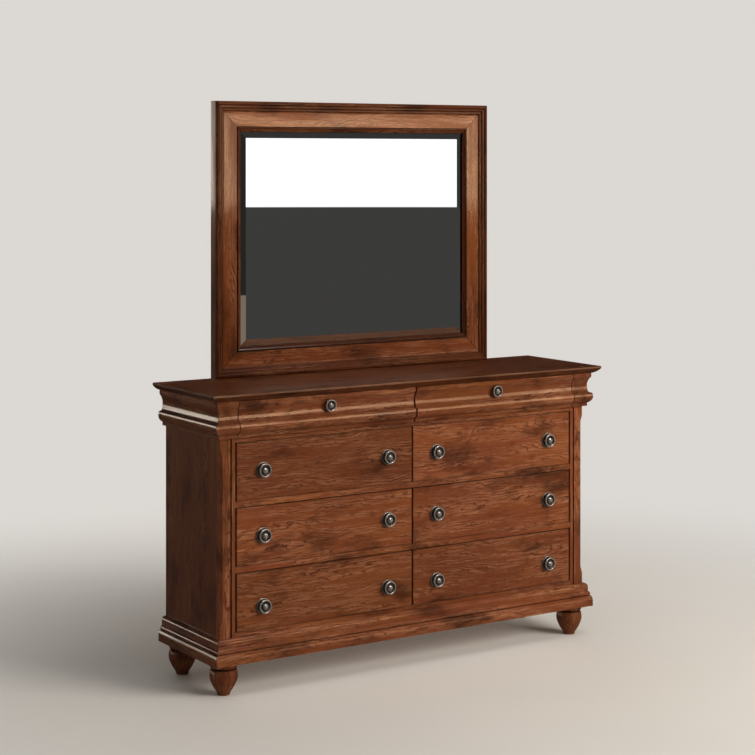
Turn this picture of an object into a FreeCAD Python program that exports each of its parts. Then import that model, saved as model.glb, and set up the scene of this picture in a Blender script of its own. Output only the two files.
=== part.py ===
import FreeCAD, Part
import os

# Double dresser with a framed mirror standing on its top.
# Frame: +Z up, the front faces -Y, +X is to the right seen from the front.
# The origin is on the floor, under the middle of the whole piece.

Vector = FreeCAD.Vector
X_AXIS = Vector(1, 0, 0)
Y_AXIS = Vector(0, 1, 0)
Z_AXIS = Vector(0, 0, 1)

# ---------------------------------------------------------------- driving dimensions (millimetres)

# Case
case_width = 1470.8            # outside the two front posts
case_depth = 380.8             # posts' front faces to the back edges
side_thickness = 18.0
back_panel_thickness = 5.0
back_panel_rebate = 8.0        # how far the back panel sits into each side
back_rail_height = 80.0
back_rail_thickness = 19.0
bottom_thickness = 12.0
partition_thickness = 19.0

# Top
top_overhang = 49.2            # past the case, at the front and both sides
top_thickness = 24.5
top_edge_bevel = 1.3           # upper edge
top_edge_bevel_drop = 2.5
top_edge_round_mid = 8.0       # middle of the round under-edge, in from the tip
top_edge_round_mid_drop = 15.8
top_edge_round = 22.0          # where the round under-edge meets the flat underside

# Front frame
post_width = 54.9
post_depth = 25.0
post_groove_offset = 37.4      # outer face of the post to the groove
post_groove_width = 5.2
post_groove_depth = 5.0
post_chamfer = 9.0             # stopped chamfer on the post's outer corner
chamfer_stop_length = 19.0
chamfer_top_margin = 36.0      # cornice to the upper stop
chamfer_bottom_margin = 38.0   # base moulding to the lower stop
rail_height = 19.5
rail_depth = 25.0
top_rail_height = 15.0
bottom_rail_reveal = 13.9      # of the bottom rail above the base moulding

# Cornice, worked on the fixed corners and on the two top drawers alike
cornice_height = 119.5
cornice_fillet_drop = 15.0     # drops are measured down from the top's underside
cornice_fillet_reach = 23.7    # reaches are measured out from the case
cornice_cove_top_drop = 16.5
cornice_cove_top_reach = 22.2
cornice_cove_deep_drop = 40.0
cornice_cove_deep_reach = 12.2
cornice_cove_end_drop = 60.5
cornice_cove_end_reach = 17.2
cornice_nose_top_drop = 80.5
cornice_nose_top_reach = 27.4
cornice_nose_drop = 85.5
cornice_nose_reach = 28.2
cornice_belly_drop = 100.5
cornice_belly_reach = 22.5
cornice_foot_drop = 108.0      # where the belly meets the bottom fillet
cornice_foot_reach = 12.9

# Base moulding
base_height = 81.0
base_reach = 27.5
base_band_height = 24.5        # upright face at the bottom
base_lip = 0.6                 # step in to the ovolo
base_ovolo_height = 20.5
base_ovolo_top_reach = 19.0
base_step_height = 2.0
base_upper_reach = 15.0
base_round_height = 11.1
base_top_reach = 2.0

# Feet
foot_height = 103.8
foot_inset_side = 32.1         # case side to the foot's axis
foot_inset_front = 35.0
foot_inset_back = 57.7
foot_tip_radius = 20.0
foot_swell_radius = 38.0       # halfway up the bulb's taper
foot_swell_height = 35.0
foot_bulb_radius = 45.0
foot_bulb_height = 54.0        # floor to where the bulb is widest
foot_shoulder_height = 80.0    # floor to the bulb's upper edge
foot_neck_radius = 35.0
foot_collar_radius = 43.5
foot_collar_height = 89.0      # floor to the collar's lower edge
corner_block_side = 100.0
corner_block_height = 40.0

# Drawers
drawer_height = 185.5          # lower fronts
drawer_gap_above = 3.0
drawer_gap_below = 1.0
drawer_side_gap = 6.0          # front to the post
drawer_centre_gap = 6.0        # between the left and right fronts
upper_row_gap_above = 1.5      # upper row to the top rail
top_drawer_gap_above = 1.5
top_drawer_gap_below = 1.3
top_drawer_side_gap = 4.5      # top drawer front to the post's inner edge
cornice_joint_gap = 2.5        # top drawer front to the fixed corner of the cornice
front_thickness = 19.7
box_back_clearance = 25.1      # box to the back of the case
box_wall = 12.0
box_height = 150.0
top_box_height = 84.0
box_raise = 8.0                # front's lower edge to the box's lower edge
box_bottom_thickness = 5.0
box_bottom_raise = 12.0
box_groove_depth = 6.0         # the bottom's seat in the sides and the front board
box_rebate = 6.0               # the back board's seat in each side
box_tails = 3                  # dovetails at each front corner
top_box_tails = 2
pin_narrow = 9.0
pin_wide = 15.0

# Drawer slides: one channel nests in the other
slide_thickness = 12.7
slide_height = 38.0
slide_setback = 3.0            # behind the drawer fronts, and short of the box's back end
slide_wall = 1.2
slide_running_gap = 0.5
slide_nesting_gap = 3.0        # edge of one channel to the web of the other
batten_width_front = 30.0
batten_width_back = 40.0

# Knobs
knob_spread = 478.9            # between the two knobs of a lower drawer
knob_raises = (73.5, 91.0, 92.0)   # above the front's lower edge: lower, middle, upper row
top_knob_raise = 81.0
knob_stem_radius = 7.0
knob_stem_length = 10.0
knob_seat_radius = 9.5         # flat spot bored in the cove under a top drawer's knob
knob_head_radius = 22.0
knob_head_thickness = 12.0

# Mirror
mirror_inset = 218.4           # end of the top to the frame's outer edge
mirror_height = 939.0
frame_width = 103.0
frame_thickness = 40.5
frame_edge_round = 7.5
frame_lip_width = 10.5
frame_steps = 3                # hollowed steps of the outer moulding, from the lip in to the flat
frame_step_run = 5.8
frame_step_rise = 4.7
frame_step_tread = 4.6
frame_quirk_offset = 16.0      # quirk beside the inner moulding, from the inner edge
frame_quirk_width = 2.4
frame_quirk_depth = 2.4
frame_inner_rise = 2.0         # inner moulding's crest above the flat
frame_inner_crest = 3.0
frame_inner_edge = 3.0         # upright edge beside the glass
glass_depth = 22.0             # frame's front plane to the glass
glass_thickness = 5.0
glass_rebate = 10.0            # glass held under the frame's inner edge
glass_bevel = 22.0             # bevel seen past the frame
glass_bevel_drop = 2.5
backing_thickness = 5.0
support_width = 64.0
support_thickness = 19.0
support_below_top = 220.0
support_above_top = 735.0
support_corner = 12.0

# ---------------------------------------------------------------- lines and levels worked out

case_half = case_width / 2
whole_depth = case_depth + top_overhang + support_thickness
y_back = whole_depth / 2 - support_thickness   # back of the case, the top and the mirror
y_face = y_back - case_depth                   # front of the posts and the lower drawers
y_post_back = y_face + post_depth
y_rail_back = y_face + rail_depth
y_front_back = y_face + front_thickness        # back of the drawer fronts
y_box_back = y_back - box_back_clearance
y_panel = y_back - back_panel_thickness
y_back_rail = y_back - back_rail_thickness

row_names = ("lower", "middle", "upper")
row_pitch = drawer_height + rail_height + drawer_gap_above + drawer_gap_below
z_base_top = foot_height + base_height
z_bottom_rail_top = z_base_top + bottom_rail_reveal
z_first_row = z_bottom_rail_top + drawer_gap_below
row_levels = [z_first_row + row * row_pitch for row in range(len(row_names))]
z_top_rail = row_levels[-1] + drawer_height + upper_row_gap_above
z_cornice = z_top_rail + top_rail_height + top_drawer_gap_below
z_case_top = z_cornice + cornice_height
z_top = z_case_top + top_thickness
z_back_rail = z_case_top - back_rail_height
z_bottom = z_bottom_rail_top - bottom_thickness

x_opening = case_half - post_width             # inner edges of the posts
x_inside = case_half - side_thickness
x_front_outer = x_opening - drawer_side_gap
x_top_front_outer = x_opening - top_drawer_side_gap
x_front_inner = drawer_centre_gap / 2
x_front_middle = (x_front_inner + x_front_outer) / 2
x_partition = partition_thickness / 2
x_box_inner = x_partition + slide_thickness
x_box_outer = x_opening - slide_thickness
top_half = case_half + top_overhang
y_top_tip = y_face - top_overhang
y_slides = y_front_back + slide_setback
slide_length = y_box_back - slide_setback - y_slides
feet_axes = [(side * (case_half - foot_inset_side), y)
             for side in (-1, 1)
             for y in (y_face + foot_inset_front, y_back - foot_inset_back)]
frame_flat = frame_thickness - frame_steps * frame_step_rise   # height of the flat over the back
glass_face = frame_thickness - glass_depth
mirror_half = top_half - mirror_inset
mirror_width = 2 * mirror_half
past = 1.0                                     # how far a cutting tool runs past what it cuts


# ---------------------------------------------------------------- shape helpers

def box(x_range, y_range, z_range):
    """Upright box between three (low, high) pairs."""
    size = [high - low for low, high in (x_range, y_range, z_range)]
    return Part.makeBox(*size, Vector(x_range[0], y_range[0], z_range[0]))


def outline_face(steps, place):
    """Flat face inside a closed outline, put in space by place(a, b).

    A step is a corner (a, b), or a pair of points for an arc: one on the arc, then its end.
    """
    edges = []
    here = steps[0]
    for step in steps[1:] + [steps[0]]:
        curved = isinstance(step[0], tuple)
        end = step[1] if curved else step
        if curved:
            edges.append(Part.Arc(place(*here), place(*step[0]), place(*end)).toShape())
        else:
            edges.append(Part.makeLine(place(*here), place(*end)))
        here = end
    return Part.Face(Part.Wire(edges))


def turned(steps, base, axis, radial):
    """Solid turned about an axis from an outline of (radius, distance along the axis)."""
    face = outline_face(steps, lambda radius, along: base + radial * radius + axis * along)
    return face.revolve(base, axis, 360)


def mirrored(shape):
    """The same piece on the other side of the dresser."""
    return shape.mirror(Vector(0, 0, 0), X_AXIS)


def on_side(shape, side):
    """A right-hand piece as it is, or its left-hand twin."""
    return shape if side > 0 else mirrored(shape)


# ---------------------------------------------------------------- top, cornice and base

def top_slab():
    """Top with a round under-edge along the front and both ends, meeting in mitres."""
    bevel_z = z_top - top_edge_bevel_drop
    mid_z = z_top - top_edge_round_mid_drop

    def moulded_edge(tip, inward):
        return [(tip + inward * top_edge_round, z_case_top),
                ((tip + inward * top_edge_round_mid, mid_z), (tip, bevel_z)),
                (tip + inward * top_edge_bevel, z_top)]

    end_edge = [(top_half - top_edge_bevel, z_top),
                (top_half, bevel_z),
                ((top_half - top_edge_round_mid, mid_z), (top_half - top_edge_round, z_case_top))]
    across = outline_face(moulded_edge(-top_half, 1) + end_edge, lambda x, z: Vector(x, y_top_tip, z))
    along = outline_face(moulded_edge(y_top_tip, 1) + [(y_back, z_top), (y_back, z_case_top)],
                         lambda y, z: Vector(-top_half, y, z))
    return across.extrude(Y_AXIS * (y_back - y_top_tip)).common(along.extrude(X_AXIS * (2 * top_half)))


def cornice_outline(back):
    """Cornice section as (reach in front of the case, z), with a flat back at reach = back."""
    def at(reach, drop):
        return (reach, z_case_top - drop)

    return [(back, z_cornice),
            (cornice_foot_reach, z_cornice),
            at(cornice_foot_reach, cornice_foot_drop),
            (at(cornice_belly_reach, cornice_belly_drop), at(cornice_nose_reach, cornice_nose_drop)),
            at(cornice_nose_top_reach, cornice_nose_top_drop),
            at(cornice_cove_end_reach, cornice_cove_end_drop),
            (at(cornice_cove_deep_reach, cornice_cove_deep_drop),
             at(cornice_cove_top_reach, cornice_cove_top_drop)),
            at(cornice_fillet_reach, cornice_fillet_drop),
            at(cornice_fillet_reach, 0),
            (back, z_case_top)]


def base_outline():
    """Base moulding section as (reach in front of the case, z)."""
    z_band = foot_height + base_band_height
    z_ovolo = z_band + base_ovolo_height
    z_step = z_ovolo + base_step_height
    z_round = z_base_top - base_round_height
    ovolo_reach = base_reach - base_lip
    ovolo_middle = ((ovolo_reach * 3 + base_ovolo_top_reach) / 4, (z_band + 2 * z_ovolo) / 3)
    round_middle = ((base_upper_reach * 3 + base_top_reach) / 4, (z_round + 2 * z_base_top) / 3)
    return [(0, foot_height),
            (base_reach, foot_height),
            (base_reach, z_band),
            (ovolo_reach, z_band),
            (ovolo_middle, (base_ovolo_top_reach, z_ovolo)),
            (base_ovolo_top_reach, z_step),
            (base_upper_reach, z_step),
            (base_upper_reach, z_round),
            (round_middle, (base_top_reach, z_base_top)),
            (0, z_base_top)]


def corner_mitre(side_piece):
    """Tool that mitres a moulding at the right front corner, for the side piece or the front one."""
    reach = top_overhang + past
    corners = [Vector(case_half - past, y_face + past, -past), Vector(case_half + reach, y_face - reach, -past)]
    if side_piece:
        corners.append(Vector(case_half - past, y_face - reach, -past))
    else:
        corners.append(Vector(case_half + reach, y_face + past, -past))
    triangle = Part.Face(Part.makePolygon(corners + corners[:1]))
    return triangle.extrude(Z_AXIS * (z_top + 2 * past))


def side_moulding(outline):
    """Moulding along the right side of the case, mitred at the front corner."""
    face = outline_face(outline, lambda reach, z: Vector(case_half + reach, y_back, z))
    run = face.extrude(Y_AXIS * (y_top_tip - y_back))
    return run.cut(corner_mitre(True))


def front_moulding(outline, x_start):
    """Moulding along the front from x_start to the mitre at the right front corner."""
    face = outline_face(outline, lambda reach, z: Vector(x_start, y_face - reach, z))
    run = face.extrude(X_AXIS * (top_half - x_start))
    return run.cut(corner_mitre(False))


def cornice(side):
    """Fixed cornice of one side: the side piece and the short return over the post."""
    outline = cornice_outline(0)
    return_start = x_top_front_outer + cornice_joint_gap
    pieces = [side_moulding(outline), front_moulding(outline, return_start)]
    return Part.Compound([on_side(piece, side) for piece in pieces])


def base_front():
    """Front base moulding, mitred at both ends."""
    half = front_moulding(base_outline(), 0)
    return half.fuse(mirrored(half)).removeSplitter()


# ---------------------------------------------------------------- case

def front_post(side):
    """Front post with a groove beside its outer part and a stopped chamfer on its corner."""
    post = box((x_opening, case_half), (y_face, y_post_back), (foot_height, z_case_top))
    x_groove = case_half - post_groove_offset
    groove = box((x_groove - post_groove_width, x_groove),
                 (y_face - past, y_face + post_groove_depth),
                 (foot_height - past, z_case_top + past))
    return on_side(post.cut(groove).cut(stopped_chamfer()), side)


def stopped_chamfer():
    """Tool for the chamfer on the right post: flat between two slanting stops."""
    low = z_base_top + chamfer_bottom_margin
    high = z_cornice - chamfer_top_margin
    deep = post_chamfer / 2 ** 0.5
    inward = Vector(-1, 1, 0).normalize()
    across = Vector(1, 1, 0).normalize()
    corner = Vector(case_half, y_face, 0)
    outline = [(-past, low), (0, low), (deep, low + chamfer_stop_length),
               (deep, high - chamfer_stop_length), (0, high), (-past, high)]
    half_run = post_chamfer + past
    face = outline_face(outline, lambda depth, z: corner + inward * depth - across * half_run + Z_AXIS * z)
    return face.extrude(across * (2 * half_run))


def back_panel():
    """Thin back, let into rebates in the two sides."""
    reach = x_inside + back_panel_rebate
    return box((-reach, reach), (y_panel, y_back), (z_bottom, z_back_rail))


def side_panel(side):
    panel = box((x_inside, case_half), (y_post_back, y_back), (foot_height, z_case_top))
    return on_side(panel.cut(back_panel()), side)


def back_rail():
    """Solid rail across the top of the back, which the mirror supports are screwed to."""
    return box((-x_inside, x_inside), (y_back_rail, y_back), (z_back_rail, z_case_top))


def centre_partition():
    """Upright between the left and right drawers, notched over the back rail."""
    panel = box((-x_partition, x_partition), (y_rail_back, y_panel), (z_bottom_rail_top, z_case_top))
    return panel.cut(back_rail())


def bottom_panel():
    return box((-x_inside, x_inside), (y_post_back, y_panel), (z_bottom, z_bottom_rail_top))


def front_rail(z_low, height):
    """Rail between the posts, flush with their faces."""
    return box((-x_opening, x_opening), (y_face, y_rail_back), (z_low, z_low + height))


def rail_under(row):
    """Rail under one of the lower rows."""
    return front_rail(row_levels[row] - drawer_gap_below - rail_height, rail_height)


def drawer_rails():
    """The two rails between the lower rows."""
    return Part.Compound([rail_under(row) for row in range(1, len(row_levels))])


def slide_battens():
    """Uprights that pack the slides out to the posts' inner edges, two on each side."""
    front = (y_post_back, y_post_back + batten_width_front)
    back = (y_back_rail - batten_width_back, y_back_rail)
    pieces = [on_side(box((x_opening, x_inside), y_range, (z_bottom_rail_top, z_case_top)), side)
              for side in (-1, 1)
              for y_range in (front, back)]
    return Part.Compound(pieces)


def corner_blocks():
    """Blocks inside the base corners, which the feet are bolted to."""
    x_range = (x_inside - corner_block_side, x_inside)
    z_range = (foot_height, foot_height + corner_block_height)
    front = (y_post_back, y_post_back + corner_block_side)
    back = (y_panel - corner_block_side, y_panel)
    return Part.Compound([on_side(box(x_range, y_range, z_range), side)
                          for side in (-1, 1)
                          for y_range in (front, back)])


def feet():
    """Four turned feet: a bulb that swells from a small tip to a shoulder, a neck and a collar."""
    outline = [(0, 0), (foot_tip_radius, 0), (foot_swell_radius, foot_swell_height),
               (foot_bulb_radius, foot_bulb_height), (foot_bulb_radius, foot_shoulder_height),
               (foot_neck_radius, foot_shoulder_height), (foot_neck_radius, foot_collar_height),
               (foot_collar_radius, foot_collar_height), (foot_collar_radius, foot_height), (0, foot_height)]
    return Part.Compound([turned(outline, Vector(x, y, 0), Z_AXIS, X_AXIS) for x, y in feet_axes])


# ---------------------------------------------------------------- slides

def channel(web, edge, z_middle, half_height):
    """Channel along the slides: its web lies at x = web, and its flanges end at x = edge."""
    inner = web + (slide_wall if edge > web else -slide_wall)
    low, high = z_middle - half_height, z_middle + half_height
    outline = [(web, low), (edge, low), (edge, low + slide_wall), (inner, low + slide_wall),
               (inner, high - slide_wall), (edge, high - slide_wall), (edge, high), (web, high)]
    face = outline_face(outline, lambda x, z: Vector(x, y_slides, z))
    return face.extrude(Y_AXIS * slide_length)


def slide_levels():
    """Height of the slides' middles for each drawer row, from the lower row to the top drawers."""
    lower = [level + box_raise + box_height / 2 for level in row_levels]
    return lower + [z_cornice + box_raise + top_box_height / 2]


def case_slides():
    """The fixed channels, on the battens and on both faces of the partition."""
    channels = []
    half_height = slide_height / 2
    for z_middle in slide_levels():
        outer = channel(x_opening, x_box_outer + slide_nesting_gap, z_middle, half_height)
        inner = channel(x_partition, x_box_inner - slide_nesting_gap, z_middle, half_height)
        channels += [outer, inner, mirrored(outer), mirrored(inner)]
    return Part.Compound(channels)


def drawer_slides(z_middle, side):
    """The two channels screwed to a drawer box, nested in the fixed ones."""
    half_height = slide_height / 2 - slide_wall - slide_running_gap
    outer = channel(x_box_outer, x_opening - slide_nesting_gap, z_middle, half_height)
    inner = channel(x_box_inner, x_partition + slide_nesting_gap, z_middle, half_height)
    return Part.Compound([on_side(outer, side), on_side(inner, side)])


# ---------------------------------------------------------------- drawers

def drawer_side(height, tails, x_range, z_low):
    """Side of a drawer box, with dovetails cut on its front end."""
    pitch = height / tails
    half_end = (pitch - pin_narrow) / 2
    half_root = (pitch - pin_wide) / 2
    shoulder = y_front_back + box_wall
    steps = [(shoulder, z_low)]
    for tail in range(tails):
        middle = z_low + (tail + 0.5) * pitch
        steps += [(shoulder, middle - half_root), (y_front_back, middle - half_end),
                  (y_front_back, middle + half_end), (shoulder, middle + half_root)]
    steps += [(shoulder, z_low + height), (y_box_back, z_low + height), (y_box_back, z_low)]
    face = outline_face(steps, lambda y, z: Vector(x_range[0], y, z))
    return face.extrude(X_AXIS * (x_range[1] - x_range[0]))


def drawer_box(z_low, height, tails, side):
    """Two sides, the front board dovetailed to them, the bottom in grooves and the back board on it."""
    z_high = z_low + height
    z_floor = z_low + box_bottom_raise
    z_inside = z_floor + box_bottom_thickness
    reach = box_wall - box_groove_depth
    floor = box((x_box_inner + reach, x_box_outer - reach), (y_front_back + reach, y_box_back), (z_floor, z_inside))
    back = box((x_box_inner + box_rebate, x_box_outer - box_rebate),
               (y_box_back - box_wall, y_box_back), (z_inside, z_high))
    front = box((x_box_inner, x_box_outer), (y_front_back, y_front_back + box_wall), (z_low, z_high))
    inner_side = drawer_side(height, tails, (x_box_inner, x_box_inner + box_wall), z_low)
    outer_side = drawer_side(height, tails, (x_box_outer - box_wall, x_box_outer), z_low)
    pieces = [front.cut(inner_side).cut(outer_side).cut(floor),
              inner_side.cut(back).cut(floor),
              outer_side.cut(back).cut(floor),
              back,
              floor]
    return Part.Compound([on_side(piece, side) for piece in pieces])


def lower_front(z_low, side):
    """Plain front of a lower drawer."""
    board = box((x_front_inner, x_front_outer), (y_face, y_front_back), (z_low, z_low + drawer_height))
    return on_side(board, side)


def top_front(knob_z, side):
    """Front of a top drawer: it carries the cornice across the case."""
    outline = cornice_outline(-front_thickness)
    face = outline_face(outline, lambda reach, z: Vector(x_front_inner, y_face - reach, z))
    front = face.extrude(X_AXIS * (x_top_front_outer - x_front_inner))
    clearance = box((0, case_half), (y_top_tip, y_front_back + past), (z_case_top - top_drawer_gap_above, z_top))
    seat = Vector(x_front_middle, y_face - cornice_cove_deep_reach, knob_z)
    knob_seat = Part.makeCylinder(knob_seat_radius, cornice_nose_reach, seat, -Y_AXIS)
    return on_side(front.cut(clearance).cut(knob_seat), side)


# ---------------------------------------------------------------- knobs

def knob(x, y_seat, z):
    """Turned knob, a round head on a thinner stem, standing on y = y_seat."""
    projection = knob_stem_length + knob_head_thickness
    outline = [(0, 0), (knob_stem_radius, 0), (knob_stem_radius, knob_stem_length),
               (knob_head_radius, knob_stem_length), (knob_head_radius, projection), (0, projection)]
    return turned(outline, Vector(x, y_seat, z), -Y_AXIS, X_AXIS)


def top_knob(knob_z, side):
    """Knob of a top drawer, seated straight in the cove."""
    return on_side(knob(x_front_middle, y_face - cornice_cove_deep_reach, knob_z), side)


def lower_knobs(knob_z, side):
    """The two knobs of a lower drawer."""
    reach = knob_spread / 2
    return Part.Compound([on_side(knob(x, y_face, knob_z), side)
                          for x in (x_front_middle - reach, x_front_middle + reach)])


def lower_drawer(name, row, side):
    """The nodes of one lower drawer."""
    z_low = row_levels[row]
    z_box = z_low + box_raise
    return {name + "_front": lower_front(z_low, side),
            name + "_box": drawer_box(z_box, box_height, box_tails, side),
            name + "_knobs": lower_knobs(z_low + knob_raises[row], side),
            name + "_slides": drawer_slides(z_box + box_height / 2, side)}


def top_drawer(name, side):
    """The nodes of one top drawer."""
    z_box = z_cornice + box_raise
    knob_z = z_cornice + top_knob_raise
    return {name + "_front": top_front(knob_z, side),
            name + "_box": drawer_box(z_box, top_box_height, top_box_tails, side),
            name + "_knob": top_knob(knob_z, side),
            name + "_slides": drawer_slides(z_box + top_box_height / 2, side)}


# ---------------------------------------------------------------- mirror

def frame_outline():
    """Mirror frame section as (distance in from the outer edge, height over the back).

    Each small round and hollow is cut as two flats.
    """
    quarter = 1 - 0.5 ** 0.5
    steps = [(0, 0),
             (0, frame_thickness - frame_edge_round),
             (frame_edge_round * quarter, frame_thickness - frame_edge_round * quarter),
             (frame_edge_round, frame_thickness),
             (frame_lip_width, frame_thickness)]
    inward, height = frame_lip_width, frame_thickness
    for step in range(frame_steps):
        low = height - frame_step_rise
        steps.append((inward + frame_step_run * quarter, low + frame_step_rise * quarter))
        steps.append((inward + frame_step_run, low))
        inward, height = inward + frame_step_run, low
        if step < frame_steps - 1:
            inward += frame_step_tread
            steps.append((inward, height))
    quirk = frame_width - frame_quirk_offset
    steps += [(quirk - frame_quirk_width / 2, frame_flat), (quirk, frame_flat - frame_quirk_depth),
              (quirk + frame_quirk_width / 2, frame_flat + frame_inner_rise),
              (quirk + frame_quirk_width / 2 + frame_inner_crest, frame_flat + frame_inner_rise)]
    edge_top = glass_face + frame_inner_edge
    slope_middle = ((steps[-1][0] + frame_width) / 2, (steps[-1][1] + 2 * edge_top) / 3)
    steps += [slope_middle, (frame_width, edge_top), (frame_width, glass_face),
              (frame_width - glass_rebate, glass_face), (frame_width - glass_rebate, 0)]
    return steps


def frame_rail(start, along, inward, length):
    """Length of the mirror frame between two outer corners, mitred at both ends."""
    def place(run, depth, height):
        return start + along * run + inward * depth - Y_AXIS * height

    rail = outline_face(frame_outline(), lambda depth, height: place(0, depth, height)).extrude(along * length)
    reach = frame_width + past
    for end, forward in ((0, 1), (length, -1)):
        corners = [place(end - forward * past, -past, -past), place(end + forward * reach, reach, -past),
                   place(end - forward * past, reach, -past)]
        wedge = Part.Face(Part.makePolygon(corners + corners[:1]))
        rail = rail.cut(wedge.extrude(Y_AXIS * -(frame_thickness + 2 * past)))
    return rail


def mirror_frame():
    """The four mitred lengths of the frame, standing on the top."""
    low_right = Vector(mirror_half, y_back, z_top)
    low_left = Vector(-mirror_half, y_back, z_top)
    high_left = Vector(-mirror_half, y_back, z_top + mirror_height)
    right = frame_rail(low_right, Z_AXIS, -X_AXIS, mirror_height)
    return {"mirror_frame_bottom": frame_rail(low_left, X_AXIS, Z_AXIS, mirror_width),
            "mirror_frame_top": frame_rail(high_left, X_AXIS, -Z_AXIS, mirror_width),
            "mirror_frame_right": right,
            "mirror_frame_left": mirrored(right)}


def mirror_glass():
    """Glass with a wide bevel all round, held in the frame's rebate."""
    inset = frame_width - glass_rebate
    half = mirror_half - inset
    z_low, z_high = z_top + inset, z_top + mirror_height - inset
    bevel = glass_bevel + glass_rebate
    back, face = glass_face - glass_thickness, glass_face
    edge = face - glass_bevel_drop

    def section(low, high):
        return [(low, back), (low, edge), (low + bevel, face), (high - bevel, face), (high, edge), (high, back)]

    across = outline_face(section(-half, half), lambda x, height: Vector(x, y_back - height, z_low))
    along = outline_face(section(z_low, z_high), lambda z, height: Vector(-half, y_back - height, z))
    return across.extrude(Z_AXIS * (z_high - z_low)).common(along.extrude(X_AXIS * (2 * half)))


def mirror_backing():
    inset = frame_width - glass_rebate
    front = y_back - glass_face + glass_thickness
    return box((inset - mirror_half, mirror_half - inset), (front, front + backing_thickness),
               (z_top + inset, z_top + mirror_height - inset))


def mirror_supports():
    """Two posts behind, against the back rail and the stiles of the frame."""
    middle = mirror_half - frame_width / 2
    low, high = z_top - support_below_top, z_top + support_above_top
    x_low, x_high = middle - support_width / 2, middle + support_width / 2
    corner = support_corner
    outline = [(x_low + corner, low), (x_high - corner, low), (x_high, low + corner), (x_high, high - corner),
               (x_high - corner, high), (x_low + corner, high), (x_low, high - corner), (x_low, low + corner)]
    face = outline_face(outline, lambda x, z: Vector(x, y_back, z))
    right = face.extrude(Y_AXIS * support_thickness)
    return Part.Compound([right, mirrored(right)])


# ---------------------------------------------------------------- assembly

def nodes():
    """Every sub-part by name."""
    parts = {"top_slab": top_slab(),
             "base_front": base_front(),
             "centre_partition": centre_partition(),
             "back_panel": back_panel(),
             "back_rail": back_rail(),
             "bottom_panel": bottom_panel(),
             "top_rail": front_rail(z_top_rail, top_rail_height),
             "bottom_rail": rail_under(0),
             "drawer_rails": drawer_rails(),
             "slide_battens": slide_battens(),
             "case_slides": case_slides(),
             "corner_blocks": corner_blocks(),
             "feet": feet(),
             "mirror_glass": mirror_glass(),
             "mirror_backing": mirror_backing(),
             "mirror_supports": mirror_supports()}
    parts.update(mirror_frame())
    for side_name, side in (("left", -1), ("right", 1)):
        parts["cornice_" + side_name] = cornice(side)
        parts["base_" + side_name] = on_side(side_moulding(base_outline()), side)
        parts["side_panel_" + side_name] = side_panel(side)
        parts["front_post_" + side_name] = front_post(side)
        for row, row_name in enumerate(row_names):
            parts.update(lower_drawer(f"drawer_{row_name}_{side_name}", row, side))
        parts.update(top_drawer(f"drawer_top_{side_name}", side))
    return parts


def main():
    os.makedirs("parts", exist_ok=True)
    for name, shape in nodes().items():
        shape.exportStep(f"parts/{name}.step")


main()
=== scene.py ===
"""Dresser with mirror: stained wood, pewter, steel and glass over the packed CAD frame."""
import math

import bmesh
import bpy
from mathutils import Matrix, Vector


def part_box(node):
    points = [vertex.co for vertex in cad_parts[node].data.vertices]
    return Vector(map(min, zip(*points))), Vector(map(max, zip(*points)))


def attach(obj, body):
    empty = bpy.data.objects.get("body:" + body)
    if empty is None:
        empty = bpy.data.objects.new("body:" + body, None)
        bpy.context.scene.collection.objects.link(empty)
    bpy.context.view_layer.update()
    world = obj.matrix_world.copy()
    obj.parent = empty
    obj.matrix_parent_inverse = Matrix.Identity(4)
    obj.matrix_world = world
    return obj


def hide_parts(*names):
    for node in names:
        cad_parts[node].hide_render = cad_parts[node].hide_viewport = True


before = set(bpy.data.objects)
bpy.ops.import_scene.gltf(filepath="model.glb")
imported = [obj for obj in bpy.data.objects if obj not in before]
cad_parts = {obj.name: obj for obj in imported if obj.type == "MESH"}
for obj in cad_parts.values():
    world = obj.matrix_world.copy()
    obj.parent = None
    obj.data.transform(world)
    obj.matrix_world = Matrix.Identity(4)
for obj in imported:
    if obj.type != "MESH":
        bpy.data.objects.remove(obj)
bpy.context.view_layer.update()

bl_info = {
    "name": "Dresser with Mirror",
    "version": (1, 0, 0),
    "blender": (4, 5, 0),
    "location": "View3D > Sidebar > Dresser",
    "description": "Models and finishes a double dresser with a framed mirror on its top",
    "category": "Object",
}

MM = 0.001
EAST, NORTH, UP = Vector((1, 0, 0)), Vector((0, 1, 0)), Vector((0, 0, 1))
SIDES = {"left": -1, "right": 1}
DRAWERS = [(row, side) for row in ("lower", "middle", "upper", "top") for side in SIDES]
GRAIN_TURN = {"X": (0.0, 0.0, 0.0), "Y": (0.0, 0.0, -math.pi / 2), "Z": (0.0, math.pi / 2, 0.0)}


def shade(code):
    """Linear colour of a six-figure display colour."""
    parts = [int(code[i:i + 2], 16) / 255 for i in (0, 2, 4)]
    return tuple(c / 12.92 if c <= 0.04045 else ((c + 0.055) / 1.055) ** 2.4 for c in parts)


# ------------------------------------------------------------------ settings

def colour(name, description, code):
    return bpy.props.FloatVectorProperty(name=name, description=description, subtype="COLOR",
                                         size=3, min=0.0, max=1.0, default=shade(code))


def length(name, description, value):
    return bpy.props.FloatProperty(name=name, description=description, default=value, min=0.0,
                                   unit="LENGTH", subtype="DISTANCE", precision=4)


def amount(name, description, value):
    return bpy.props.FloatProperty(name=name, description=description, default=value, min=0.0,
                                   max=1.0, subtype="FACTOR")


def number(name, description, value, low=0.0):
    return bpy.props.FloatProperty(name=name, description=description, default=value, min=low)


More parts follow.
